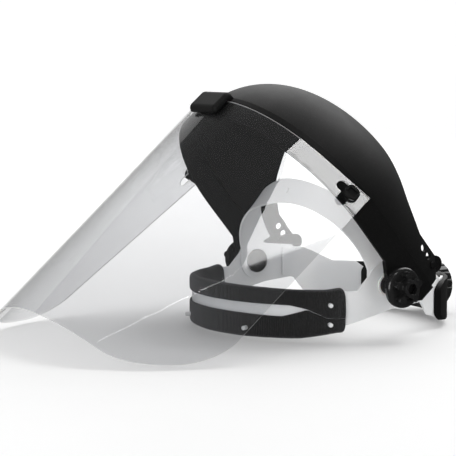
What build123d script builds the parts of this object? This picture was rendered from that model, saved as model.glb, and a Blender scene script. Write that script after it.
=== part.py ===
from build123d import *
from math import atan2, cos, degrees, radians, sin, sqrt
import os

os.makedirs("parts", exist_ok=True)

# Face shield with a flip-up window, millimetres.
# The wearer looks along -Y, +X is the wearer's left and +Z is up.
# The origin is the middle of the pivot axis, which lies along X.
# Crown and window are drawn lowered, in front of the face, then turned up by RAISE.

RAISE = 50.0            # how far the visor is flipped up, degrees

# crown: brow band, dome and the flat end plates at its ends
RIM_R = 97.0            # outer radius of the U-shaped brow band, half the width
RIM_FWD = 54.0          # centre of that radius, ahead of the pivots
RIM_WALL = 2.4
RIM_LOW, RIM_HIGH = 3.0, 22.0
DOME_STEP = 1.6         # the dome rises this far inside the band's outer face
DOME_HIGH = 82.0
DOME_FULL = 2.6         # superellipse power of its arch: 2 is an ellipse, more is squarer
# the dome's rear edge, (forward, up) from the side to past the middle
DOME_BACK = ((9, 41), (23, 46.8), (36, 53.2), (44, 59), (57, 67.5), (82, 83))
PLATE_WALL = 3.0
PLATE_FWD, PLATE_BACK, PLATE_TOP, PLATE_LUG_R = 13.0, 22.0, 41.5, 9.6
STOP_R, STOP_STEP, STOP_FIRST = 36.5, 11.5, 2.5   # tilt-stop holes on an arc about the pivot
STOP_HOLE = 5.2

# window: a flat sheet bent round the crown, flaring slightly towards its lower edge
WIN_WIDE, WIN_TALL, WIN_THICK = 287.0, 203.0, 1.0
WIN_TOP = 15.6          # height of its top edge above the pivots
WIN_CORNER = 60.0       # height of the rounded lower corners
BEND_TOP = (98.0, 55.0, 58.0)      # bend radius, centre ahead of the pivots, half angle
BEND_LOW = (141.0, 4.0, 50.0)
POST_FWD, POST_UP = 79.0, 8.6      # window posts on the crown

# headgear: one loop of strip in plan, an ellipse in front and another at the nape
BAND_HALF = 82.0        # middle of the strip to the centre line, at the sides
BAND_FRONT, BAND_SIDE, BAND_REAR = -91.5, 22.0, 96.0
BAND_MID = -15.0        # where the front ellipse ends and the straight sides begin
BAND_WALL = 1.8
BAND_LOW, BAND_TOP = -33.0, -3.0
TAIL_END = 34.0         # rear ends of the headband's tails
LUG_R = 16.0
PAD_THICK, FLAP_THICK, PAD_GAP, PAD_END = 4.0, 1.8, 0.2, -33.0     # sweatband
PEG_R, PEG_OUT = 1.5, 5.6              # pegs that button it down
STRAP_BASE, STRAP_WIDE, STRAP_WALL = 28.0, 18.0, 1.4
STRAP_FOOT, STRAP_TOP, STRAP_LEAN, STRAP_TILT = 12.0, 61.0, 24.0, 70.0
STRAP_HOLE, STRAP_GAP = 92.0, 0.4      # turn along the strap of its hole, gap between the halves

# pivot stack, distances from the centre line
HEAD_IN, STRAP_IN = 77.5, 79.5
WASHER_IN, WASHER_OUT, HUB_IN = 83.1, 85.1, 85.3
ARM_WALL, ARM_TIP = 2.8, 1.6           # thickness of the stop arm at its hub and at its tip
PLATE_IN = RIM_R - PLATE_WALL
KNOB_IN, KNOB_NECK, KNOB_RIM, KNOB_LOBE, KNOB_OUT = 97.4, 100.4, 105.0, 109.5, 113.0
BOLT_R, BOLT_END, KNOB_R, HUB_R = 3.0, 109.0, 14.2, 6.2
RUN = 0.06              # radial running clearance on the bolts

# nape unit, layered outwards from the strip's middle line
REAR_IN, REAR_OUT = -3.6, -1.8         # rear bands, inside the headband's tails
REAR_START, NECK_HALF, NECK_TALL = 24.0, 42.0, 10.0
NAPE_HALF, NAPE_LOW, NAPE_TOP = 74.0, -32.5, -3.0
SHELL_IN, SHELL_OUT = -1.4, 1.6
COVER_IN, COVER_OUT, COVER_HALF = -6.2, -4.0, 46.0
CUSHION_IN, CUSHION_HALF, CUSHION_LOW, CUSHION_TOP = -11.2, 44.0, -29.5, -4.5
DIAL_Z, DIAL_R, DIAL_IN, DIAL_OUT = -17.0, 16.9, 101.3, 116.8
PINION_R, PINION_ROOT, TOOTH_PITCH, RACK_GAP = 4.2, 3.1, 3.0, 4.6
SHAFT_R = 3.5


def raised(shape):
    return Rot(-RAISE, 0, 0) * shape


def mirrored(shape):
    return mirror(shape, about=Plane.YZ)


def rod(radius, x0, x1, y=0.0, z=0.0):
    """A cylinder along X from x0 to x1."""
    return Pos((x0 + x1) / 2, y, z) * Rot(0, 90, 0) * Cylinder(radius, abs(x1 - x0))


def slab(x0, x1, y0, y1, z0, z1):
    return Pos((x0 + x1) / 2, (y0 + y1) / 2, (z0 + z1) / 2) * Box(x1 - x0, y1 - y0, z1 - z0)


def side_plate(outline, x0, x1):
    """A flat outline of (y, z) points, or a sketch in those axes, made solid from x0 to x1."""
    face = outline if isinstance(outline, Sketch) else make_face(Polyline(*outline, close=True))
    return Pos(x0, 0, 0) * extrude(Plane.YZ * face, x1 - x0, dir=(1, 0, 0))


# ---------------------------------------------------------------- crown

def rim_plan(radius, back):
    """The U of the brow: half a circle in front, straight sides running back."""
    centre = -RIM_FWD
    front = Pos(0, centre) * Circle(radius) & Pos(0, centre - radius) * Rectangle(4 * radius, 2 * radius)
    sides = Pos(0, (centre + back) / 2) * Rectangle(2 * radius, back - centre)
    return front + sides


def arch_points(wide, high, steps=14):
    """Quarter of the dome's arch, from its foot to its top, as a superellipse."""
    turns = [radians(90 * i / steps) for i in range(steps + 1)]
    return [(wide * cos(t) ** (2 / DOME_FULL), high * sin(t) ** (2 / DOME_FULL)) for t in turns]


def dome_body(wide, high):
    """A dome with a round front and the same arch carried straight back from it."""
    foot = -8.0
    quarter = arch_points(wide, high)
    curve = Spline(*quarter, tangents=[(0, 1), (-1, 0)])
    half = make_face([curve, Polyline((0, high), (0, foot), (wide, foot), (wide, 0))])
    front = revolve(Plane.XZ * half, Axis.Z, -180)
    back = extrude(Plane.XZ * (half + mirror(half, about=Plane.YZ)), 90, dir=(0, 1, 0))
    return Pos(0, -RIM_FWD, 0) * (front + back)


def end_plate_outline():
    """Side outline of an end plate in (y, z), y running back."""
    body = make_face(Polyline(
        (-PLATE_FWD - 8, RIM_LOW), (-PLATE_FWD + 2, PLATE_TOP), (10.5, PLATE_TOP),
        (PLATE_BACK, PLATE_TOP - 11.5), (PLATE_BACK, 9), (10, -6), (-9, -4), close=True))
    return body + Circle(PLATE_LUG_R)


def stop_hole_places():
    """Centres of the three tilt-stop holes, (y, z) in the lowered visor, front hole first."""
    angles = [radians(STOP_FIRST - i * STOP_STEP) for i in range(3)]
    return [(-STOP_R * sin(a), STOP_R * cos(a)) for a in angles]


def window_half_width(forward):
    """Half width of the window's inner face at its top edge, this far ahead of the pivots."""
    radius, centre, half = BEND_TOP
    a = radians(half)
    return radius * sin(a) + (centre + radius * cos(a) - forward) / sin(a) * cos(a)


def post_frame():
    """On the window's inner face at the left post: x up, y towards the front, z outwards."""
    half = radians(BEND_TOP[2])
    at = Vector(window_half_width(POST_FWD), -POST_FWD, POST_UP)
    return Plane(origin=at, x_dir=(0, 0, 1), z_dir=(sin(half), -cos(half), 0))


def window_post():
    """Oval post with a necked waist for the window's slot and a hollow head."""
    frame = post_frame()
    brow = Pos(0, 0, -5) * extrude(rim_plan(RIM_R - 1.0, 30), 60)
    foot = extrude(frame * Ellipse(4.4, 5.4), -12.0) - brow
    neck = extrude(frame * Ellipse(3.0, 3.4), 2.8)
    head = extrude(frame.offset(2.7) * Ellipse(4.4, 5.6), 2.8)
    pocket = extrude(frame.offset(3.4) * Rectangle(4.6, 6.6), 4.0)
    return foot + neck + head - pocket


def crown_shell():
    band = extrude(rim_plan(RIM_R, 0) - rim_plan(RIM_R - RIM_WALL, 1), RIM_HIGH - RIM_LOW)
    band = Pos(0, 0, RIM_LOW) * band
    dome_r = RIM_R - DOME_STEP
    skin = dome_body(dome_r, DOME_HIGH) - dome_body(dome_r - RIM_WALL, DOME_HIGH - RIM_WALL)
    rear = [(-forward, up) for forward, up in DOME_BACK]
    foot = RIM_HIGH - 2
    front = [(-170, rear[-1][1]), (-170, foot), (rear[0][0], foot)]
    keep = side_plate(make_face([Spline(*rear), Polyline(rear[-1], *front, rear[0])]), -110, 110)
    ends = side_plate(end_plate_outline(), -110, 110)
    # flat cheek round the pivot, in line with the band
    cheek = side_plate(end_plate_outline() & Pos(0, -28) * Rectangle(200, 100), PLATE_IN, RIM_R)
    hook = rod(1.8, PLATE_IN, RIM_R, -14.0, RIM_LOW - 3)
    hook = hook + slab(PLATE_IN, RIM_R, -15.8, -12.2, RIM_LOW - 3, RIM_LOW + 4)
    side = cheek + hook + window_post()
    shell = band + (skin & keep) + (skin & ends) + side + mirrored(side)
    for y, z in stop_hole_places():
        shell = shell - rod(STOP_HOLE / 2, -120, 120, y, z)
    # the end plates are thinned inside, to clear the tips of the stop arms
    clear = HUB_IN + ARM_TIP + 0.3
    shell = shell - slab(-clear, clear, 0, 30, 30, 50)
    return shell - rod(BOLT_R + RUN, -120, 120) - clip_slot(0.15)


# ---------------------------------------------------------------- window and its front clip

def bent_strip(radius, centre, half):
    """Plan of the bent sheet: an arc with straight, tangent sides, WIN_WIDE long in all."""
    a = radians(half)
    side = WIN_WIDE / 2 - radius * a

    def corners(r):
        arc = (r * sin(a), -centre - r * cos(a))
        tip = (arc[0] + side * cos(a), arc[1] + side * sin(a))
        return arc, tip, (0, -centre - r)

    def flip(point):
        return (-point[0], point[1])

    in_arc, in_tip, in_mid = corners(radius)
    out_arc, out_tip, out_mid = corners(radius + WIN_THICK)
    return make_face([
        ThreePointArc(flip(in_arc), in_mid, in_arc), Polyline(in_arc, in_tip, out_tip, out_arc),
        ThreePointArc(out_arc, out_mid, flip(out_arc)),
        Polyline(flip(out_arc), flip(out_tip), flip(in_tip), flip(in_arc))])


def window():
    top, low = WIN_TOP, WIN_TOP - WIN_TALL
    sheet = loft([Pos(0, 0, top) * bent_strip(*BEND_TOP), Pos(0, 0, low) * bent_strip(*BEND_LOW)], ruled=True)
    # rounded lower corners, as seen from the front, each running smoothly into its side edge
    top_wide, low_wide = (r * sin(radians(h)) + (WIN_WIDE / 2 - r * radians(h)) * cos(radians(h))
                          for r, _, h in (BEND_TOP, BEND_LOW))
    half_wide = low_wide - (low_wide - top_wide) * WIN_CORNER / WIN_TALL
    across = 0.7 * WIN_CORNER
    corner = Pos(half_wide + 10, low - 5) * Rectangle(2 * across + 20, 2 * WIN_CORNER + 10)
    round_off = Pos(half_wide - across, low + WIN_CORNER) * Ellipse(across, WIN_CORNER)
    inside = Pos(half_wide - across - 50, low + WIN_CORNER) * Rectangle(100, 400)
    cutter = extrude(Plane.XZ * (corner - round_off - inside), 200, dir=(0, -1, 0))
    # slot that drops over the post and slides along it
    frame = post_frame()
    slot = Pos(0, 3.6) * SlotOverall(17, 7.2, rotation=90) + Pos(-5.5, 2.4) * SlotOverall(15, 7.6)
    slot = extrude(frame.offset(-3) * slot, 8)
    removed = cutter + slot
    return sheet - removed - mirrored(removed)


def clip_slot(grow=0.0):
    """The slot through the brow band that the front clip's tongue snaps into."""
    front = -RIM_FWD - RIM_R
    return slab(-8 - grow, 8 + grow, front - 1, front + RIM_WALL + 2, 17.4 - grow, 19.8 + grow)


def front_clip():
    """Hook over the middle of the window's top edge, tongued through the brow band."""
    face = -RIM_FWD - RIM_R
    win_out = -(BEND_TOP[0] + BEND_TOP[1] + WIN_THICK)
    lip = slab(-17, 17, win_out - 5.2, win_out - 0.5, 1.0, 20.3)
    lip = fillet(lip.edges().filter_by(Axis.X).group_by(Axis.Y)[0], 4.2)
    lip = fillet(lip.edges().filter_by(Axis.Y), 3.0)
    bridge = slab(-14, 14, win_out - 1.0, face - 0.3, WIN_TOP + 0.5, 20.3)
    tongue = slab(-7.8, 7.8, face - 1, face + RIM_WALL + 0.3, 17.5, 19.7)
    barb = slab(-7.8, 7.8, face + RIM_WALL + 0.3, face + RIM_WALL + 1.6, 16.4, 19.7)
    return lip + bridge + tongue + barb


# ---------------------------------------------------------------- tilt stop

def stop_arm():
    """Arm on the left pivot bolt, pegged into the rear tilt-stop hole."""
    y, z = stop_hole_places()[2]
    reach = degrees(atan2(z, y))
    outline = Rot(0, 0, reach) * Pos(STOP_R / 2, 0) * Rectangle(STOP_R, 7) + Circle(6.5)
    outline = outline + Pos(y + 1, z + 1) * SlotOverall(22, 12.0, rotation=RAISE)
    # thickness along the arm, drawn as distance from the centre line against reach from the pivot
    section = make_face(Polyline(
        (HUB_IN, -12), (HUB_IN, 60), (HUB_IN + ARM_TIP, 60), (HUB_IN + ARM_TIP, 20),
        (HUB_IN + ARM_WALL, 16), (HUB_IN + ARM_WALL, -12), close=True))
    section = Rot(reach - 90, 0, 0) * extrude(Plane.XZ * section, 30, both=True)
    arm = side_plate(outline, 80, 92) & section
    hub = rod(6.0, HUB_IN, RIM_R - DOME_STEP - RIM_WALL - 0.3)
    peg = rod(STOP_HOLE / 2 - 0.2, HUB_IN + 0.5, 92.8, y, z)
    return arm + hub + peg - rod(BOLT_R + RUN, 80, 120)


# ---------------------------------------------------------------- headgear

def band_plan(grow):
    """Filled plan of the headband loop, the strip's middle line moved out by grow."""
    wide, far = BAND_HALF + grow, 200.0
    half_plane = Rectangle(2 * far, 2 * far)
    front = Pos(0, BAND_MID) * Ellipse(wide, BAND_MID - BAND_FRONT + grow)
    front = front & Pos(0, BAND_MID - far) * half_plane
    rear = Pos(0, BAND_SIDE) * Ellipse(wide, BAND_REAR - BAND_SIDE + grow)
    rear = rear & Pos(0, BAND_SIDE + far) * half_plane
    sides = Pos(0, (BAND_MID + BAND_SIDE) / 2) * Rectangle(2 * wide, BAND_SIDE - BAND_MID)
    return front + sides + rear


def band_ring(inner, outer, z0=-60.0, z1=40.0):
    return Pos(0, 0, z0) * extrude(band_plan(outer) - band_plan(inner), z1 - z0)


def band_x(y, grow):
    """Half width of the loop at this y in its front part."""
    wide, deep = BAND_HALF + grow, BAND_MID - BAND_FRONT + grow
    return wide * sqrt(max(0.0, 1 - ((min(y, BAND_MID) - BAND_MID) / deep) ** 2))


def sweatband_pegs(grow=0.0):
    """Pegs standing on the headband's outer face that button the sweatband's flaps down."""
    places = [(-44, -11.5), (-44, -25.0), (-84.6, -29.0)]
    pegs = Part()
    for y, z in places:
        x = band_x(y, BAND_WALL / 2)
        wide, deep = BAND_HALF, BAND_MID - BAND_FRONT
        out = Vector(x / wide ** 2, (y - BAND_MID) / deep ** 2, 0).normalized()
        base = Plane(origin=Vector(x, y, z) - out * 0.8, z_dir=out)
        pegs = pegs + extrude(base * Circle(PEG_R + grow), PEG_OUT + 0.8 + 4 * grow)
    return pegs


def headband():
    """Front band with its pivot lugs, the sweatband's pegs and the straight tails."""
    half = BAND_WALL / 2
    outline = make_face(Polyline(
        (-120, BAND_LOW), (-60, BAND_LOW), (-38, -27.5), (-14, -22), (8, -17),
        (TAIL_END, -14.5), (TAIL_END, 10.5), (9, 13), (-9, 12), (-24, BAND_TOP), (-120, BAND_TOP),
        close=True))
    body = band_ring(-half, half) & side_plate(outline + Circle(LUG_R), -100, 100)
    pegs = sweatband_pegs()
    return body + pegs + mirrored(pegs) - rod(BOLT_R + 0.02, -100, 100)


def sweatband():
    """Padded strip folded over the front band, its two flaps meeting the band's outer face."""
    half = BAND_WALL / 2 + PAD_GAP
    outline = make_face(Polyline((-120, 1), (-60, -0.5), (PAD_END, -1.5), (PAD_END, -31.5), (-60, -35.5),
                                 (-120, -36), close=True))
    body = band_ring(-half - PAD_THICK, half + FLAP_THICK) & side_plate(outline, -100, 100)
    # room for the band itself, following its lower edge
    hollow = make_face(Polyline((-120, BAND_TOP + 0.4), (0, BAND_TOP + 0.4), (0, -22), (PAD_END, -28.5),
                                (-58, BAND_LOW - 0.4), (-120, BAND_LOW - 0.4), close=True))
    hollow = band_ring(-half, half) & side_plate(hollow, -100, 100)
    # the flaps stop short of each other round the front
    gap = make_face(Polyline((-130, -11), (-70, -12), (-52, -16), (-70, -19.5), (-130, -17), close=True))
    gap = side_plate(gap, -100, 100) & band_ring(0, half + FLAP_THICK + 3)
    bores = sweatband_pegs(0.15)
    return body - hollow - gap - bores - mirrored(bores)


def strap_station(turn, sink=0.0):
    """Section plane of a crown strap: 0 where it starts to curve in, 90 at the top of the head."""
    t = radians(turn)
    lean = radians(STRAP_TILT) * sin(t)
    middle, rise = STRAP_IN + STRAP_WALL / 2, STRAP_TOP - STRAP_FOOT
    out = Vector(cos(t), -sin(t) * sin(lean), sin(t) * cos(lean))
    along = Vector(-middle * sin(t), -STRAP_LEAN * cos(t), rise * cos(t)).normalized()
    out = (out - along * out.dot(along)).normalized()
    at = Vector(middle * cos(t), -STRAP_LEAN * sin(t), STRAP_FOOT + rise * sin(t)) - out * sink
    return Plane(origin=at, x_dir=out, z_dir=along)


def strap_half(under):
    """Left half of the crown strap; the one that lies under steps in below the other."""
    drop = STRAP_WALL + STRAP_GAP
    sections = []
    for turn in range(0, 105, 8):
        wide = STRAP_WIDE + (STRAP_BASE - STRAP_WIDE) * max(0.0, 1 - turn / 48) ** 1.5
        sink = drop * min(1.0, max(0.0, (turn - 48) / 20)) if under else 0.0
        sections.append(strap_station(turn, sink) * Rectangle(STRAP_WALL, wide))
    leg = loft(sections)
    foot = slab(STRAP_IN, STRAP_IN + STRAP_WALL, -STRAP_BASE / 2, STRAP_BASE / 2, 0, STRAP_FOOT)
    tab = rod(STRAP_BASE / 2, STRAP_IN, STRAP_IN + STRAP_WALL)
    return leg + foot + tab - rod(BOLT_R + 0.02, 70, 90)


def crown_strap_left():
    """Outer half, with the hole that the right half's button snaps through."""
    frame = strap_station(STRAP_HOLE)
    hole = Plane(origin=frame.origin, z_dir=frame.x_dir)
    return strap_half(under=False) - extrude(hole * Circle(2.15), 4, both=True)


def crown_strap_right():
    """Inner half, with the button."""
    frame = strap_station(180 - STRAP_HOLE, STRAP_WALL + STRAP_GAP)
    post = Plane(origin=frame.origin, z_dir=frame.x_dir)
    return mirrored(strap_half(under=True) + extrude(post * Circle(2.0), 3.2))


# ---------------------------------------------------------------- pivots

def pivot_bolt():
    """Round-headed bolt from inside the headgear out to the tension knob."""
    head = rod(9.0, HEAD_IN, STRAP_IN)
    head = fillet(head.edges().filter_by(GeomType.CIRCLE).group_by(Axis.X)[0], 1.2)
    return head + rod(BOLT_R, STRAP_IN - 0.5, BOLT_END)


def friction_washer():
    return rod(7.5, WASHER_IN, WASHER_OUT) - rod(BOLT_R + 0.02, 80, 90)


def tension_knob():
    """Five-lobed knob with a deep hexagonal recess and a seat for its brass insert."""
    base = rod(KNOB_R, KNOB_NECK, KNOB_RIM)
    base = fillet(base.edges().filter_by(GeomType.CIRCLE).group_by(Axis.X)[-1], 2.8)
    knob = base + rod(9.5, KNOB_IN, KNOB_NECK + 1) + rod(HUB_R, KNOB_RIM - 1, KNOB_OUT)
    for i in range(5):
        lobe = Rot(72 * i + 20, 0, 0) * (rod(2.6, KNOB_RIM - 2.5, KNOB_LOBE, 9.0, 0)
                                        + slab(KNOB_RIM - 2.5, KNOB_LOBE, 0, 9, -1.9, 1.9))
        knob = knob + lobe
    recess = Plane.YZ * RegularPolygon(4.2, 6)
    recess = Pos(BOLT_END - 0.5, 0, 0) * extrude(recess, 6, dir=(1, 0, 0))
    return knob - recess - rod(5.0, 90, 105.5) - rod(BOLT_R + 0.3, 90, 110)


def knob_insert():
    return rod(5.0, KNOB_IN + 0.4, 105.5) - rod(BOLT_R + RUN, 90, 110)


# ---------------------------------------------------------------- nape unit

def rear_band(upper):
    """Left rear band: lies outside the headband's tail and ends in a toothed tongue."""
    low, high = DIAL_Z - NECK_TALL, DIAL_Z + NECK_TALL
    outline = make_face(Polyline(
        (REAR_START, -13), (REAR_START, 9), (40, 9), (48, 5.5), (62, -2.3), (75, -2.3),
        (79, high), (120, high), (120, low), (79, low), (70, low - 1.5), (53, low - 1.5),
        (42, low + 1.5), (34, -15), close=True))
    ring = band_ring(REAR_IN, REAR_OUT)
    strip = ring & side_plate(outline, NECK_HALF, 100)
    neck = ring & slab(33, NECK_HALF + 0.01, 60, 120, low, high)
    if upper:
        low = edge = DIAL_Z + RACK_GAP
    else:
        high = edge = DIAL_Z - RACK_GAP
    tongue = ring & slab(-30, 33.01, 60, 120, low, high)
    for i in range(-9, 10):
        x = i * TOOTH_PITCH
        tongue = tongue - slab(x - 0.75, x + 0.75, 60, 120, edge - 1.1, edge + 1.1)
    return strip + neck + tongue


def nape_mask(half, low=NAPE_LOW, high=NAPE_TOP, corner=8.0):
    """Rounded window along Y that trims a ring to the nape unit's outline."""
    face = Pos(0, (low + high) / 2) * RectangleRounded(2 * half, high - low, corner)
    return Pos(0, 30, 0) * extrude(Plane.XZ * face, 120, dir=(0, 1, 0))


def dial_bore(radius, y0=BAND_REAR - 20, y1=BAND_REAR + 30):
    """A cylinder along the dial's axis."""
    return Pos(0, (y0 + y1) / 2, DIAL_Z) * Rot(90, 0, 0) * Cylinder(radius, y1 - y0)


def nape_housing():
    """Outer shell with a round seat for the dial and rails above and below the tongues."""
    shell = band_ring(SHELL_IN, SHELL_OUT) & nape_mask(NAPE_HALF)
    seat = dial_bore(13.5, BAND_REAR - 0.5, DIAL_IN - 0.3)
    rails = band_ring(COVER_OUT + 0.1, SHELL_IN + 0.3) & nape_mask(COVER_HALF)
    opening = slab(-100, 100, 30, 140, DIAL_Z - NECK_TALL - 0.3, DIAL_Z + NECK_TALL + 0.3)
    return shell + seat + (rails - opening) - dial_bore(SHAFT_R + RUN)


def nape_cover():
    return (band_ring(COVER_IN, COVER_OUT) & nape_mask(COVER_HALF)) - dial_bore(3.6)


def nape_cushion():
    body = band_ring(CUSHION_IN, COVER_IN - 0.1) & nape_mask(CUSHION_HALF, CUSHION_LOW, CUSHION_TOP, 9)
    return body - dial_bore(4.6)


def ratchet_dial():
    """Ribbed dial with its shaft through the housing."""
    knob = dial_bore(DIAL_R, DIAL_IN + 2.6, DIAL_OUT) + dial_bore(DIAL_R - 2.2, DIAL_IN, DIAL_IN + 4)
    knob = fillet(knob.edges().filter_by(GeomType.CIRCLE).group_by(Axis.Y)[-1], 1.6)
    for i in range(18):
        notch = Pos(DIAL_R + 0.9, 0, 0) * Rot(90, 0, 0) * Cylinder(1.9, 40)
        knob = knob - Pos(0, DIAL_OUT, DIAL_Z) * Rot(0, 20 * i, 0) * notch
    shaft = dial_bore(SHAFT_R, BAND_REAR + REAR_OUT + 0.2, DIAL_IN + 1)
    return knob + shaft - dial_bore(1.2, BAND_REAR - 6, BAND_REAR + 9)


def pinion():
    """Gear between the two toothed tongues, screwed to the dial's shaft."""
    y0, y1 = BAND_REAR + REAR_IN - 0.2, BAND_REAR + REAR_OUT + 0.2
    gear = dial_bore(PINION_ROOT, y0, y1)
    for i in range(8):
        tooth = slab(PINION_ROOT - 0.5, PINION_R, y0, y1, -0.6, 0.6)
        gear = gear + Pos(0, 0, DIAL_Z) * Rot(0, 45 * i + 22.5, 0) * tooth
    return gear - dial_bore(1.2, y0 - 1, y1 + 1)


def dial_screw():
    head = BAND_REAR + REAR_IN - 0.2
    return dial_bore(2.8, head - 1.6, head) + dial_bore(1.15, head - 0.5, BAND_REAR + 8)


# ---------------------------------------------------------------- assembly

def both_sides(name, shape):
    return {f"{name}_left": shape, f"{name}_right": mirrored(shape)}


parts = {
    "crown_shell": raised(crown_shell()),
    "window": raised(window()),
    "front_clip": raised(front_clip()),
    **both_sides("stop_arm", raised(stop_arm())),
    "headband": headband(),
    "sweatband": sweatband(),
    "crown_strap_left": crown_strap_left(),
    "crown_strap_right": crown_strap_right(),
    **both_sides("pivot_bolt", pivot_bolt()),
    **both_sides("friction_washer", friction_washer()),
    **both_sides("tension_knob", tension_knob()),
    **both_sides("knob_insert", knob_insert()),
    "rear_band_left": rear_band(upper=True),
    "rear_band_right": mirrored(rear_band(upper=False)),
    "nape_housing": nape_housing(),
    "nape_cover": nape_cover(),
    "nape_cushion": nape_cushion(),
    "ratchet_dial": ratchet_dial(),
    "pinion": pinion(),
    "dial_screw": dial_screw(),
}

for name, shape in parts.items():
    shape.label = name
    export_step(shape, f"parts/{name}.step")
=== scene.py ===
import bmesh
import bpy
from math import asin, cos, pi, radians, sin, sqrt
from mathutils import Matrix, Vector


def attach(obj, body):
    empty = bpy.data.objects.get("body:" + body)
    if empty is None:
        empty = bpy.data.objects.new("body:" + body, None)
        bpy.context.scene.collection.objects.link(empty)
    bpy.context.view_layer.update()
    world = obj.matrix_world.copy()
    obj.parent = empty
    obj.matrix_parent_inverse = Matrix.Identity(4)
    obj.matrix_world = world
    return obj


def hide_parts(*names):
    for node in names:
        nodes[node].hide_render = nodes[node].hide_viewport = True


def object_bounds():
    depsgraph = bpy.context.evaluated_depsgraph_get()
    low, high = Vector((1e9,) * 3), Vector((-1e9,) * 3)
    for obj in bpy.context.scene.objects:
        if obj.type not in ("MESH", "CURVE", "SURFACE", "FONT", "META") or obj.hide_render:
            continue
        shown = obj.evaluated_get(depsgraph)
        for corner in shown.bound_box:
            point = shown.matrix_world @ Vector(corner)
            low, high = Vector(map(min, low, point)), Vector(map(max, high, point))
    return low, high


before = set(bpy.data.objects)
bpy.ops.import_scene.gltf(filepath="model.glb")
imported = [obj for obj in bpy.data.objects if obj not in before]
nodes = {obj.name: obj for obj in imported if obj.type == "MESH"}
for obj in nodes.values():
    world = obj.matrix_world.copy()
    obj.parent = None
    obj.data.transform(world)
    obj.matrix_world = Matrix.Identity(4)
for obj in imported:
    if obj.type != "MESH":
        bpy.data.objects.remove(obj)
cad_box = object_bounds()

# Face shield seen in three-quarter view from its left front, visor flipped up.
# Lengths below are millimetres in the row frame; MM turns them into metres.
MM = 0.001
RAISE = 50.0                                        # visor's turn in the rest pose

# window sheet, drawn lowered
WIN_WIDE, WIN_TALL, WIN_THICK, WIN_TOP = 287.0, 203.0, 1.0, 15.6
BEND_TOP, BEND_LOW = (98.0, 55.0, 58.0), (141.0, 4.0, 50.0)   # radius, centre ahead, half angle
WIN_CORNER = 60.0                                   # height of the rounded lower corners
POST_FWD, POST_UP = 79.0, 8.6                       # window posts on the crown

# headband loop: half width, then the front and rear ellipses
BAND_HALF, BAND_FRONT, BAND_MID, BAND_SIDE, BAND_REAR = 82.0, -91.5, -15.0, 22.0, 96.0

# soft pieces along the loop, by turn: 0 at the left side, 90 in front or at the nape
PAD_END_TURN = 13.6                                 # where the sweatband ends, from each side
CUSHION_TURN = 33.0                                 # the cushion's reach either way from the nape
SIDE_ARC, NAPE_ARC = 1.38, 1.36                     # length of strip to a degree, at the side and nape

CAMERA_AT, CAMERA_DOWN, CAMERA_ROUND = (1.0207, -0.7310, 0.1621), 5.91, 57.37


# ---------------------------------------------------------------- materials

class Shader:
    """A material being built: a Principled shader and the procedural nodes that feed it."""

    def __init__(self, name, rough=0.5, base=(0.5, 0.5, 0.5), **settings):
        self.mat = bpy.data.materials.new(name)
        self.mat.use_nodes = True
        self.nodes, self.links = self.mat.node_tree.nodes, self.mat.node_tree.links
        self.bsdf = self.nodes["Principled BSDF"]
        self.bsdf.inputs["Roughness"].default_value = rough
        self.bsdf.inputs["Base Color"].default_value = (*base, 1)
        for key, value in settings.items():
            self.bsdf.inputs[key.replace("_", " ")].default_value = value
        self.coords = self.nodes.new("ShaderNodeTexCoord")
        self.bump_in = None

    def add(self, kind, **settings):
        node = self.nodes.new("ShaderNode" + kind)
        for key, value in settings.items():
            node.inputs[key.replace("_", " ")].default_value = value
        return node

    def noise(self, scale, detail=3.0, space="Object", stretch=None):
        node = self.add("TexNoise", Scale=scale, Detail=detail)
        source = self.coords.outputs[space]
        if stretch:
            mapping = self.add("Mapping", Scale=stretch)
            self.links.new(source, mapping.inputs["Vector"])
            source = mapping.outputs["Vector"]
        self.links.new(source, node.inputs["Vector"])
        return node.outputs["Fac"]

    def ramp(self, value, stops):
        node = self.add("ValToRGB")
        while len(node.color_ramp.elements) < len(stops):
            node.color_ramp.elements.new(0.5)
        for element, (at, colour) in zip(node.color_ramp.elements, stops):
            element.position = at
            element.color = (*colour, 1) if isinstance(colour, tuple) else (colour, colour, colour, 1)
        self.links.new(value, node.inputs["Fac"])
        return node.outputs["Color"]

    def colour(self, value, stops):
        self.links.new(self.ramp(value, stops), self.bsdf.inputs["Base Color"])

    def rough(self, value, low, high):
        node = self.add("MapRange", To_Min=low, To_Max=high)
        self.links.new(value, node.inputs["Value"])
        self.links.new(node.outputs["Result"], self.bsdf.inputs["Roughness"])

    def bump(self, height, distance, strength=1.0):
        node = self.add("Bump", Strength=strength, Distance=distance)
        self.links.new(height, node.inputs["Height"])
        if self.bump_in:
            self.links.new(self.bump_in, node.inputs["Normal"])
        self.bump_in = node.outputs["Normal"]
        self.links.new(self.bump_in, self.bsdf.inputs["Normal"])

    def soft_edges(self, radius):
        """Rounds moulded edges in the shading."""
        node = self.nodes.new("ShaderNodeBevel")
        node.samples = 4
        node.inputs["Radius"].default_value = radius
        self.bump_in = node.outputs["Normal"]


def moulded_black():
    """Black thermoplastic with a fine spark-eroded texture."""
    s = Shader("moulded_black", Specular_IOR_Level=0.3)
    s.soft_edges(0.5 * MM)
    speckle = s.noise(1500, 2)
    s.colour(speckle, [(0.35, 0.0015), (0.6, 0.0035), (0.78, 0.016)])
    s.rough(s.noise(60, 4), 0.52, 0.64)
    s.bump(speckle, 0.10 * MM, 0.35)
    return s.mat


def inner_black():
    """Plain black moulding of the hidden and inner parts."""
    s = Shader("inner_black", Specular_IOR_Level=0.25)
    s.soft_edges(0.3 * MM)
    grain = s.noise(900, 2)
    s.colour(grain, [(0.3, 0.004), (0.7, 0.012)])
    s.rough(s.noise(50, 3), 0.4, 0.6)
    s.bump(grain, 0.05 * MM, 0.4)
    return s.mat


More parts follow.
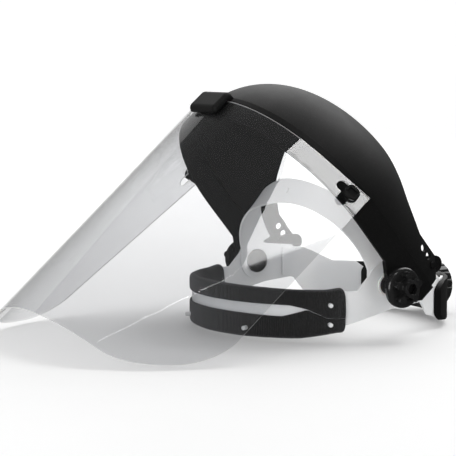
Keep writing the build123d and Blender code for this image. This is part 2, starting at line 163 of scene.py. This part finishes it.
def gloss_black():
    """Polished black plastic of the knobs and dial."""
    s = Shader("gloss_black", Specular_IOR_Level=0.6)
    s.soft_edges(0.4 * MM)
    s.colour(s.noise(40, 3), [(0.3, 0.006), (0.7, 0.014)])
    s.rough(s.noise(220, 4), 0.1, 0.24)
    s.bump(s.noise(900, 2), 0.01 * MM, 0.12)
    return s.mat


def white_strap():
    """Natural white polyethylene, faintly translucent, with flow marks along the strip."""
    s = Shader("white_strap", Subsurface_Weight=0.35, Subsurface_Scale=0.004, Specular_IOR_Level=0.45)
    s.bsdf.inputs["Subsurface Radius"].default_value = (1.0, 0.95, 0.9)
    s.soft_edges(0.3 * MM)
    s.colour(s.noise(18, 5), [(0.3, (0.80, 0.81, 0.82)), (0.7, (0.87, 0.875, 0.88))])
    s.rough(s.noise(120, 4), 0.3, 0.46)
    s.bump(s.noise(70, 4), 0.15 * MM, 0.25)
    s.bump(s.noise(1200, 2), 0.02 * MM, 0.3)
    return s.mat


def ribbed_cloth():
    """Black terry strip: fine ribs across it, loose fibre and a little lint."""
    s = Shader("ribbed_cloth", Specular_IOR_Level=0.2, Sheen_Weight=0.5, Sheen_Roughness=0.5)
    s.bsdf.inputs["Sheen Tint"].default_value = (0.5, 0.5, 0.52, 1)
    wave = s.add("TexWave", Scale=1.0, Distortion=2.2, Detail=2.0)
    wave.inputs["Detail Scale"].default_value = 2.0
    mapping = s.add("Mapping", Scale=(60.0, 3.0, 1.0))
    s.links.new(s.coords.outputs["UV"], mapping.inputs["Vector"])
    s.links.new(mapping.outputs["Vector"], wave.inputs["Vector"])
    fibre = s.noise(2600, 4)
    s.colour(fibre, [(0.3, 0.006), (0.55, 0.016), (0.78, 0.05)])
    s.rough(s.noise(500, 3), 0.8, 0.98)
    s.bump(wave.outputs["Fac"], 0.3 * MM, 0.8)
    s.bump(fibre, 0.3 * MM, 1.0)
    return s.mat


def foam():
    """Dark open-cell foam skinned with thin cloth."""
    s = Shader("foam", Specular_IOR_Level=0.25, Sheen_Weight=0.25)
    cells = s.add("TexVoronoi", Scale=900.0)
    s.links.new(s.coords.outputs["Object"], cells.inputs["Vector"])
    s.colour(cells.outputs["Distance"], [(0.0, 0.012), (0.5, 0.045), (1.0, 0.07)])
    s.rough(s.noise(300, 3), 0.75, 0.95)
    s.bump(cells.outputs["Distance"], 0.25 * MM, 0.6)
    s.bump(s.noise(45, 3), 0.8 * MM, 0.4)
    return s.mat


def metal(name, colours, low, high):
    """Turned metal, its roughness between low and high along the tool marks."""
    s = Shader(name, Metallic=1.0)
    s.soft_edges(0.2 * MM)
    s.colour(s.noise(150, 4), [(0.3, colours[0]), (0.7, colours[1])])
    turned = s.noise(90, 5, stretch=(40.0, 1.0, 1.0))
    s.rough(turned, low, high)
    s.bump(turned, 0.03 * MM, 0.4)
    return s.mat


def nylon():
    """Natural nylon of the friction washers."""
    s = Shader("nylon", Specular_IOR_Level=0.4, Subsurface_Weight=0.2, Subsurface_Scale=0.003)
    s.colour(s.noise(200, 4), [(0.3, (0.74, 0.74, 0.72)), (0.7, (0.82, 0.82, 0.8))])
    s.rough(s.noise(300, 3), 0.45, 0.65)
    s.bump(s.noise(1500, 2), 0.05 * MM, 0.5)
    return s.mat


def clear_sheet():
    """Clear polished sheet: mostly see-through, with a mirror-like surface and faint haze."""
    s = Shader("clear_sheet", base=(0.86, 0.87, 0.88), Specular_IOR_Level=1.0)
    s.bsdf.inputs["IOR"].default_value = 1.58
    s.rough(s.noise(14, 2), 0.015, 0.03)
    haze = s.ramp(s.noise(9, 2, stretch=(1.0, 1.0, 0.2)), [(0.3, 0.004), (0.75, 0.01)])
    facing = s.add("LayerWeight", Blend=0.5)
    grazing = s.add("Math")
    grazing.operation = "POWER"
    grazing.inputs[1].default_value = 4.5
    s.links.new(facing.outputs["Facing"], grazing.inputs[0])
    gain = s.add("MapRange", To_Min=0.05, To_Max=0.8)
    s.links.new(grazing.outputs["Value"], gain.inputs["Value"])
    total = s.add("Math")
    total.operation = "ADD"
    s.links.new(gain.outputs["Result"], total.inputs[0])
    s.links.new(haze, total.inputs[1])
    clear = s.add("BsdfTransparent", Color=(0.905, 0.907, 0.912, 1))
    mirror = s.add("BsdfGlossy", Color=(1, 1, 1, 1), Roughness=0.02)
    body = s.add("MixShader", Fac=0.9)
    s.links.new(s.bsdf.outputs["BSDF"], body.inputs[1])
    s.links.new(mirror.outputs["BSDF"], body.inputs[2])
    mix = s.nodes.new("ShaderNodeMixShader")
    s.links.new(total.outputs["Value"], mix.inputs["Fac"])
    s.links.new(clear.outputs["BSDF"], mix.inputs[1])
    s.links.new(body.outputs["Shader"], mix.inputs[2])
    s.links.new(mix.outputs["Shader"], s.nodes["Material Output"].inputs["Surface"])
    return s.mat


def cut_edge():
    """Sawn edge of the clear sheet: pale and slightly frosted."""
    s = Shader("cut_edge", Specular_IOR_Level=0.6, Alpha=0.75)
    s.colour(s.noise(300, 3), [(0.3, 0.84), (0.7, 0.93)])
    s.rough(s.noise(900, 3), 0.2, 0.45)
    s.bump(s.noise(1800, 2), 0.03 * MM, 0.4)
    return s.mat


def finish_with(obj, material):
    obj.data.materials.clear()
    obj.data.materials.append(material)


# ---------------------------------------------------------------- mesh helpers

def new_object(name, verts, faces, material, smooth=True):
    """A mesh object from points in millimetres, normals outwards."""
    mesh = bpy.data.meshes.new(name)
    mesh.from_pydata([Vector(v) * MM for v in verts], [], faces)
    mesh.validate()
    obj = bpy.data.objects.new(name, mesh)
    bpy.context.scene.collection.objects.link(obj)
    edit = bmesh.new()
    edit.from_mesh(mesh)
    bmesh.ops.recalc_face_normals(edit, faces=edit.faces)
    edit.to_mesh(mesh)
    edit.free()
    for poly in mesh.polygons:
        poly.use_smooth = smooth
    finish_with(obj, material)
    return obj


def apply_modifiers(obj):
    graph = bpy.context.evaluated_depsgraph_get()
    mesh = bpy.data.meshes.new_from_object(obj.evaluated_get(graph))
    obj.modifiers.clear()
    obj.data = mesh


def loop_point(turn, grow, z):
    """A point on the headband loop: turn 0 at the left side, 90 in front (or at the nape, negative)."""
    t = radians(abs(turn))
    front = turn >= 0
    mid, deep = (BAND_MID, BAND_MID - BAND_FRONT) if front else (BAND_SIDE, BAND_REAR - BAND_SIDE)
    wide = BAND_HALF + grow
    return Vector((wide * cos(t), mid + (-1 if front else 1) * (deep + grow) * sin(t), z))


def sweep(name, stations, section, material):
    """Closed sections at each station joined into a capped tube; section(station) gives 3-D points."""
    rings = [section(s) for s in stations]
    n = len(rings[0])
    verts = [p for ring in rings for p in ring]
    faces = [(i * n + j, i * n + (j + 1) % n, (i + 1) * n + (j + 1) % n, (i + 1) * n + j)
             for i in range(len(rings) - 1) for j in range(n)]
    for i, ring in ((0, rings[0]), (len(rings) - 1, rings[-1])):
        middle = sum(ring, Vector()) / n
        verts.append(middle)
        hub = len(verts) - 1
        faces += [(hub, i * n + (j + 1) % n, i * n + j) for j in range(n)]
    return new_object(name, verts, faces, material)


# ---------------------------------------------------------------- window

def bent_edge(bend, t, thick):
    """Half of the bent sheet's plan: t 0 in the middle, 1 where the bend ends, 2 at the side edge."""
    radius, centre, half = bend
    a = radians(half)
    side = WIN_WIDE / 2 - radius * a
    turn = a * min(t, 1.0)
    run = side * max(t - 1.0, 0.0)
    r = radius + thick
    return (r * sin(turn) + run * cos(turn), -centre - r * cos(turn) + run * sin(turn))


def window_point(t, share, thick):
    """A point of the lowered sheet: t across it, negative to the right, share of its height down."""
    side = 1 if t >= 0 else -1
    (x0, y0), (x1, y1) = (bent_edge(b, abs(t), thick) for b in (BEND_TOP, BEND_LOW))
    return Vector((side * (x0 + (x1 - x0) * share), y0 + (y1 - y0) * share, WIN_TOP - WIN_TALL * share))


def window_length(t):
    """Share of the sheet's height kept at this column, less near the rounded lower corners."""
    top_wide, low_wide = bent_edge(BEND_TOP, 2, 0)[0], bent_edge(BEND_LOW, 2, 0)[0]
    across = 0.7 * WIN_CORNER
    cx = low_wide - (low_wide - top_wide) * WIN_CORNER / WIN_TALL - across
    cz = WIN_TOP - WIN_TALL + WIN_CORNER
    low, high = 1 - WIN_CORNER / WIN_TALL, 1.0

    def inside(share):
        p = window_point(abs(t), share, 0)
        return p.x <= cx or ((p.x - cx) / across) ** 2 + ((p.z - cz) / WIN_CORNER) ** 2 <= 1

    if inside(high):
        return high
    for _ in range(30):
        middle = (low + high) / 2
        low, high = (middle, high) if inside(middle) else (low, middle)
    return low


def prism(name, outline, plane, depth):
    """Cutter: a closed outline in a plane, given as a 4x4 matrix, pushed both ways by depth."""
    verts = [plane @ Vector((x, y, z)) for z in (-depth, depth) for x, y in outline]
    n = len(outline)
    faces = [tuple(range(n)), tuple(range(n, 2 * n))]
    faces += [(i, (i + 1) % n, n + (i + 1) % n, n + i) for i in range(n)]
    return new_object(name, verts, faces, None)


def slot_outline(length, width, x, y, along_y):
    """Outline of a round-ended slot centred at x, y."""
    reach, r = (length - width) / 2, width / 2
    points = []
    for i in range(24):
        a = radians(15 * i + 7.5)
        u, v = r * cos(a) + (reach if cos(a) > 0 else -reach), r * sin(a)
        points.append((x - v, y + u) if along_y else (x + u, y + v))
    return points


def build_window(material, edge):
    """The bent sheet with its cut edges, finer than the CAD one and of the same shape."""
    half = [i / 36 for i in range(36)] + [1 + sin(pi / 2 * i / 40) for i in range(41)]
    columns = [-t for t in reversed(half[1:])] + half
    rows = 56
    turn = Matrix.Rotation(radians(-RAISE), 3, "X")
    verts, faces = [], []
    for thick in (0.0, WIN_THICK):
        for t in columns:
            keep = window_length(t)
            verts += [window_point(t, keep * j / rows, thick) for j in range(rows + 1)]
    n, m = len(columns), rows + 1
    for i in range(n - 1):
        for j in range(rows):
            a, b, c, d = i * m + j, i * m + j + 1, (i + 1) * m + j + 1, (i + 1) * m + j
            faces += [(a, b, c, d), tuple(n * m + k for k in (d, c, b, a))]
    rim = [i * m for i in range(n)] + [(n - 1) * m + j for j in range(1, m)]
    rim += [i * m + rows for i in range(n - 2, -1, -1)] + [j for j in range(rows - 1, 0, -1)]
    flat = len(faces)
    for a, b in zip(rim, rim[1:] + rim[:1]):
        faces.append((a, b, n * m + b, n * m + a))
    sheet = new_object("window_sheet", verts, faces, material)
    sheet.data.materials.append(edge)
    for poly in sheet.data.polygons[flat:]:
        poly.material_index = 1
    # T-shaped slots that drop over the posts
    radius, centre, bend = BEND_TOP
    a = radians(bend)
    wide = radius * sin(a) + (centre + radius * cos(a) - POST_FWD) / sin(a) * cos(a)
    for side in (1, -1):
        along, out = Vector((0, 0, 1)), Vector((side * sin(a), -cos(a), 0))
        front = Vector((-side * cos(a), -sin(a), 0))
        at = Vector((side * wide, -POST_FWD, POST_UP))
        plane = Matrix((along, front, out)).transposed().to_4x4()
        plane.translation = at
        for outline in (slot_outline(17, 7.2, 0, 3.6, True), slot_outline(15, 7.6, -5.5, 2.4, False)):
            cutter = prism("cutter", outline, plane, 6)
            cutter.data.materials.append(edge)
            cutter.data.polygons.foreach_set("material_index", [1] * len(cutter.data.polygons))
            cut = sheet.modifiers.new("slot", "BOOLEAN")
            cut.object, cut.operation, cut.solver = cutter, "DIFFERENCE", "EXACT"
            apply_modifiers(sheet)
            bpy.data.objects.remove(cutter)
    sheet.data.transform(turn.to_4x4())
    sheet.data.set_sharp_from_angle(angle=radians(35))
    sheet.modifiers.new("normals", "WEIGHTED_NORMAL").keep_sharp = True
    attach(sheet, "visor")
    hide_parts("window")
    return sheet


# ---------------------------------------------------------------- soft goods

def eased(x, points):
    """Piecewise linear value at x through (x, value) points in rising x."""
    for (x0, v0), (x1, v1) in zip(points, points[1:]):
        if x <= x1:
            return v0 + (v1 - v0) * max(0.0, (x - x0) / (x1 - x0))
    return points[-1][1]


def end_round(distance, radius):
    """How far an edge draws in near a rounded end: radius at the end, 0 beyond it."""
    d = min(max(distance, 0.0), radius)
    return radius - sqrt(radius ** 2 - (radius - d) ** 2)


def sweatband_section(turn):
    """C-shaped section: puffed inner pad, folded over the band's edges into two outer flaps."""
    t = radians(turn)
    y = BAND_MID - (BAND_MID - BAND_FRONT) * sin(t)
    from_end = (min(turn, 180 - turn) - PAD_END_TURN) * SIDE_ARC
    top = eased(y, [(-94, 0.6), (-66, -0.9), (-46, -1.2), (-36, 0.2)]) - 0.6 * end_round(from_end, 5.0)
    low = eased(y, [(-94, -35.8), (-60, -35.2), (-38, -31.6)]) + 0.5 * end_round(from_end, 2.5)
    upper = eased(y, [(-94, -11.4), (-66, -12.0), (-57, -14.6), (-50, -18.4), (-45, -21.0), (-34, -21.4)])
    lower = min(upper - 0.06, eased(y, [(-94, -18.4), (-70, -19.6), (-57, -14.6), (-34, -14.6)]))
    lap = eased(y, [(-58, 0.0), (-48, 0.8)])
    puff = 0.7 * sin(turn * 0.9) * 0.5 + 0.35 * sin(turn * 2.3 + 1)
    outer, inside, pad = 2.85, 1.12, -5.0
    face = [(outer - 0.5 + lap, upper), (outer + lap, upper + 1.0), (outer + lap, upper + 4),
            (outer + lap / 2, (upper + top) / 2), (outer, top - 3.0), (outer - 0.4, top - 1.2),
            (0.6, top - 0.1), (-1.5, top), (-3.6, top - 0.9),
            (pad + 0.4, top - 3.4), (pad + 0.1, top - 8), (pad + 0.1 * puff, (top + low) / 2 + 5),
            (pad + 0.1 * puff, (top + low) / 2 - 5),
            (pad + 0.1, low + 8), (pad + 0.4, low + 3.4), (-3.6, low + 0.9), (-1.5, low), (0.6, low + 0.1),
            (outer - 0.4, low + 1.2), (outer, low + 3.0), (outer, (low + lower) / 2), (outer, lower - 4),
            (outer, lower - 1.0), (outer - 0.5, lower)]
    back = [(inside + 0.1, lower), (inside, lower - 1), (inside, (low + lower) / 2), (inside, low + 2.9),
            (-inside, low + 2.9), (-inside, (top + low) / 2), (-inside, top - 2.3), (inside, top - 2.3),
            (inside, (upper + top) / 2), (inside, upper + 1), (inside + 0.1, upper)]
    return [loop_point(turn, g, z) for g, z in face + back]


def sew_uv(obj):
    """UVs for the cloth: u along the strip, v up its height."""
    layer = obj.data.uv_layers.new(name="cloth")
    mesh = obj.data
    for poly in mesh.polygons:
        for corner in poly.loop_indices:
            at = mesh.vertices[mesh.loops[corner].vertex_index].co
            t = at.x / (BAND_HALF * MM)
            layer.data[corner].uv = (asin(max(-1, min(1, t))) / pi + 0.5, at.z / 0.04)


def build_sweatband(material):
    steps = 110
    turns = [PAD_END_TURN + (180 - 2 * PAD_END_TURN) * i / steps for i in range(steps + 1)]
    band = sweep("sweatband_cloth", turns, sweatband_section, material)
    smooth = band.modifiers.new("smooth", "SUBSURF")
    smooth.levels = smooth.render_levels = 1
    apply_modifiers(band)
    wrinkle(band, 0.35 * MM, 14 * MM)
    sew_uv(band)
    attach(band, "headgear")
    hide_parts("sweatband")
    return band


def wrinkle(obj, height, size):
    """Slight unevenness of cloth over foam, pushed along the normals."""
    texture = bpy.data.textures.new("wrinkle", "CLOUDS")
    texture.noise_scale = size
    push = obj.modifiers.new("wrinkle", "DISPLACE")
    push.texture, push.strength, push.mid_level = texture, height, 0.6
    apply_modifiers(obj)
    for poly in obj.data.polygons:
        poly.use_smooth = True


def cushion_section(turn):
    """Rounded, puffed pad section inside the nape cover."""
    reach = CUSHION_TURN - abs(abs(turn) - 90)
    pull = end_round(reach * NAPE_ARC, 10.0)
    low, top = -29.0 + pull * 0.95, -5.0 - pull * 0.95
    back, face = -6.4, -11.1 + 0.25 * pull
    points = []
    for i in range(28):
        a = 2 * pi * i / 28
        c, s = cos(a), sin(a)
        u = abs(c) ** 0.55 * (1 if c > 0 else -1)
        v = abs(s) ** 0.5 * (1 if s > 0 else -1)
        grow = (back + face) / 2 + (back - face) / 2 * u
        points.append(loop_point(turn, grow, (low + top) / 2 + (top - low) / 2 * v))
    return points


def build_cushion(material):
    steps = 60
    turns = [-(90 - CUSHION_TURN) - 2 * CUSHION_TURN * i / steps for i in range(steps + 1)]
    pad = sweep("nape_cushion_foam", turns, cushion_section, material)
    smooth = pad.modifiers.new("smooth", "SUBSURF")
    smooth.levels = smooth.render_levels = 1
    apply_modifiers(pad)
    wrinkle(pad, 0.4 * MM, 18 * MM)
    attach(pad, "nape_unit")
    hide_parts("nape_cushion")
    return pad


# ---------------------------------------------------------------- pieces

black, inner, gloss, white = moulded_black(), inner_black(), gloss_black(), white_strap()
cloth, cushion, washer = ribbed_cloth(), foam(), nylon()
brass = metal("brass", ((0.70, 0.52, 0.24), (0.80, 0.62, 0.32)), 0.2, 0.38)
steel = metal("steel", ((0.50, 0.50, 0.52), (0.64, 0.64, 0.66)), 0.22, 0.4)

finishes = {
    "crown_shell": black, "front_clip": black, "nape_housing": black, "nape_cover": inner,
    "stop_arm": black, "headband": white, "crown_strap": white, "rear_band": white, "pinion": white,
    "pivot_bolt": inner, "friction_washer": washer, "tension_knob": gloss, "knob_insert": brass,
    "ratchet_dial": gloss, "dial_screw": steel, "window": clear_sheet(),
    "sweatband": cloth, "nape_cushion": cushion,
}
for name, obj in nodes.items():
    kind = name.removesuffix("_left").removesuffix("_right")
    finish_with(obj, finishes[kind])
    obj.data.polygons.foreach_set("use_smooth", [True] * len(obj.data.polygons))
    obj.data.set_sharp_from_angle(angle=radians(28))

build_window(finishes["window"], cut_edge())
build_sweatband(cloth)
build_cushion(cushion)


# ---------------------------------------------------------------- floor, light and camera

def floor_material():
    """Matt white that glows a little, more so far from the lamps, so that the sweep looks even."""
    s = Shader("pale_floor", rough=0.9, Specular_IOR_Level=0.0)
    s.colour(s.noise(3, 3), [(0.3, 0.59), (0.7, 0.62)])
    s.bsdf.inputs["Emission Color"].default_value = (1, 1, 1, 1)
    reach = s.add("Mapping", Scale=(0.45, 0.45, 0.45))
    s.links.new(s.coords.outputs["Object"], reach.inputs["Vector"])
    near = s.add("TexGradient")
    near.gradient_type = "SPHERICAL"
    s.links.new(reach.outputs["Vector"], near.inputs["Vector"])
    glow = s.add("MapRange", To_Min=0.68, To_Max=0.12)
    s.links.new(near.outputs["Fac"], glow.inputs["Value"])
    path = s.nodes.new("ShaderNodeLightPath")
    seen = s.add("Math")
    seen.operation = "MULTIPLY"
    s.links.new(glow.outputs["Result"], seen.inputs[0])
    s.links.new(path.outputs["Is Camera Ray"], seen.inputs[1])
    s.links.new(seen.outputs["Value"], s.bsdf.inputs["Emission Strength"])
    return s.mat


def build_floor():
    """Seamless pale sweep: flat under the object, curving up far behind it."""
    z = (min(cad_box[0][2], cad_box[1][2]) - 0.002) / MM
    profile = [(-9000, z), (3000, z)] + [(3000 + 1500 * sin(radians(a)), z + 1500 * (1 - cos(radians(a))))
                                        for a in range(10, 91, 10)] + [(4500, 6000)]
    verts = [Vector((x, y, h)) for x in (-9000, 9000) for y, h in profile]
    n = len(profile)
    faces = [(i, i + 1, n + i + 1, n + i) for i in range(n - 1)]
    floor = new_object("floor", verts, faces, floor_material())
    floor.rotation_euler = (0, 0, radians(CAMERA_ROUND))
    floor.visible_glossy = False


def softbox(name, toward, distance, size, power):
    """A rectangular area light facing the object from this direction and distance in metres."""
    lamp = bpy.data.lights.new(name, "AREA")
    lamp.shape, lamp.size, lamp.size_y, lamp.energy = "RECTANGLE", size[0], size[1], power
    obj = bpy.data.objects.new(name, lamp)
    direction = Vector(toward).normalized()
    obj.location = direction * distance + Vector((0, -0.05, 0.03))
    obj.rotation_euler = direction.to_track_quat("Z", "Y").to_euler()
    bpy.context.scene.collection.objects.link(obj)
    return obj


def mirrored(across, down):
    """Where the camera sees by reflection in the raised window, a card's distance away, in millimetres."""
    turn = Matrix.Rotation(radians(-RAISE), 3, "X")
    step = 0.001
    at = turn @ window_point(across, down, WIN_THICK)
    sideways = window_point(across + step, down, WIN_THICK) - window_point(across - step, down, WIN_THICK)
    downwards = window_point(across, down + step, WIN_THICK) - window_point(across, down - step, WIN_THICK)
    normal = (turn @ sideways.cross(downwards)).normalized()
    sight = (Vector(CAMERA_AT) / MM - at).normalized()
    return at + CARD_AWAY * (2 * normal.dot(sight) * normal - sight)


def card(name, points, level):
    """A glowing studio card over an outline, seen only in reflections that reach it directly."""
    shader = Shader(name, base=(0, 0, 0), Specular_IOR_Level=0.0)
    shader.bsdf.inputs["Emission Color"].default_value = (1, 1, 1, 1)
    path = shader.nodes.new("ShaderNodeLightPath")
    direct = shader.add("MapRange", To_Min=level, To_Max=0.0)
    shader.links.new(path.outputs["Transparent Depth"], direct.inputs["Value"])
    shader.links.new(direct.outputs["Result"], shader.bsdf.inputs["Emission Strength"])
    outline = [tuple(range(len(points)))]
    obj = new_object(name, points, outline, shader.mat, smooth=False)
    obj.visible_camera = obj.visible_diffuse = obj.visible_shadow = obj.visible_transmission = False


def mirror_card(name, places, level):
    """A card that fills, in its mirror image, the outline of these places on the sheet."""
    card(name, [mirrored(*place) for place in places], level)


def strip_card(name, places, half, level):
    """A narrow card whose mirror image is a line through these places on the sheet."""
    upper = [(across - half, down - half) for across, down in places]
    lower = [(across + half, down + half) for across, down in reversed(places)]
    mirror_card(name, upper + lower, level)


build_floor()
softbox("key_back", (-0.3, 0.55, 0.78), 1.7, (2.3, 1.5), 32)
softbox("key_top", (0.2, 0.3, 0.95), 1.6, (1.0, 0.8), 6).visible_glossy = False
softbox("fill_front", (0.6, -0.95, 0.15), 2.2, (1.6, 1.2), 22).data.specular_factor = 0.2

# What the near face of the window mirrors, as places on the sheet. Across it, 1 is where the bend
# ends and 2 is the side edge; down it, 0 is the top edge and 1 the lower edge.
CARD_AWAY = 1200.0
seam = [(0.802, 0.069), (0.917, 0.071), (1.066, 0.068), (1.656, 0.075)]
below_side = [(1.088, 0.49), (1.684, 0.307), (2.057, 0.151), (2.012, 0.088)]
below_front = [(0.871, 0.142), (0.89, 0.214), (0.932, 0.337), (0.962, 0.422), (1.001, 0.469)]
above_seam = [(2.008, 0.08), (2.009, 0.004), (1.485, -0.002), (0.985, -0.007), (0.825, -0.006)]
long_line = [(0.612, 0.985), (0.692, 0.896), (0.789, 0.7825), (0.883, 0.6725), (0.964, 0.582), (1.09, 0.491)]
mirror_card("card_main", below_side + seam[::-1] + below_front, 8.0)
mirror_card("card_upper", above_seam + seam, 11.0)
strip_card("card_strip", long_line, 0.001, 9.0)
# a plain wall of light behind the object, for the grazing side of the window
wall_ends, wall_low, wall_high = [(-2715, -1225), (-2135, 2075)], -1500, 1900
corners = [(x, y, wall_low) for x, y in wall_ends] + [(x, y, wall_high) for x, y in wall_ends[::-1]]
card("card_wall", corners, 0.8)

world = bpy.data.worlds.new("studio")
world.use_nodes = True
tree = world.node_tree
path = tree.nodes.new("ShaderNodeLightPath")


def background(level):
    """White surroundings of this brightness."""
    node = tree.nodes.new("ShaderNodeBackground")
    node.inputs["Color"].default_value, node.inputs["Strength"].default_value = (1, 1, 1, 1), level
    return node.outputs["Background"]


def either(ray, no, yes):
    """One of two shaders, chosen by the kind of ray that reaches them."""
    node = tree.nodes.new("ShaderNodeMixShader")
    tree.links.new(path.outputs[ray], node.inputs["Fac"])
    tree.links.new(no, node.inputs[1])
    tree.links.new(yes, node.inputs[2])
    return node.outputs["Shader"]


# the room is bright to look at, softer as light, and nearly dark in reflections
room = either("Is Glossy Ray", background(0.6), background(0.1))
room = either("Is Camera Ray", room, background(1.0))
tree.links.new(room, tree.nodes["World Output"].inputs["Surface"])
bpy.context.scene.world = world
bpy.context.scene.view_settings.view_transform = "Standard"

camera = bpy.data.cameras.new("camera")
camera.lens, camera.sensor_width = 135.3, 36.0
camera.clip_end = 50
view = bpy.data.objects.new("camera", camera)
view.location = CAMERA_AT
view.rotation_euler = (radians(90 - CAMERA_DOWN), 0, radians(CAMERA_ROUND))
bpy.context.scene.collection.objects.link(view)
bpy.context.scene.camera = view
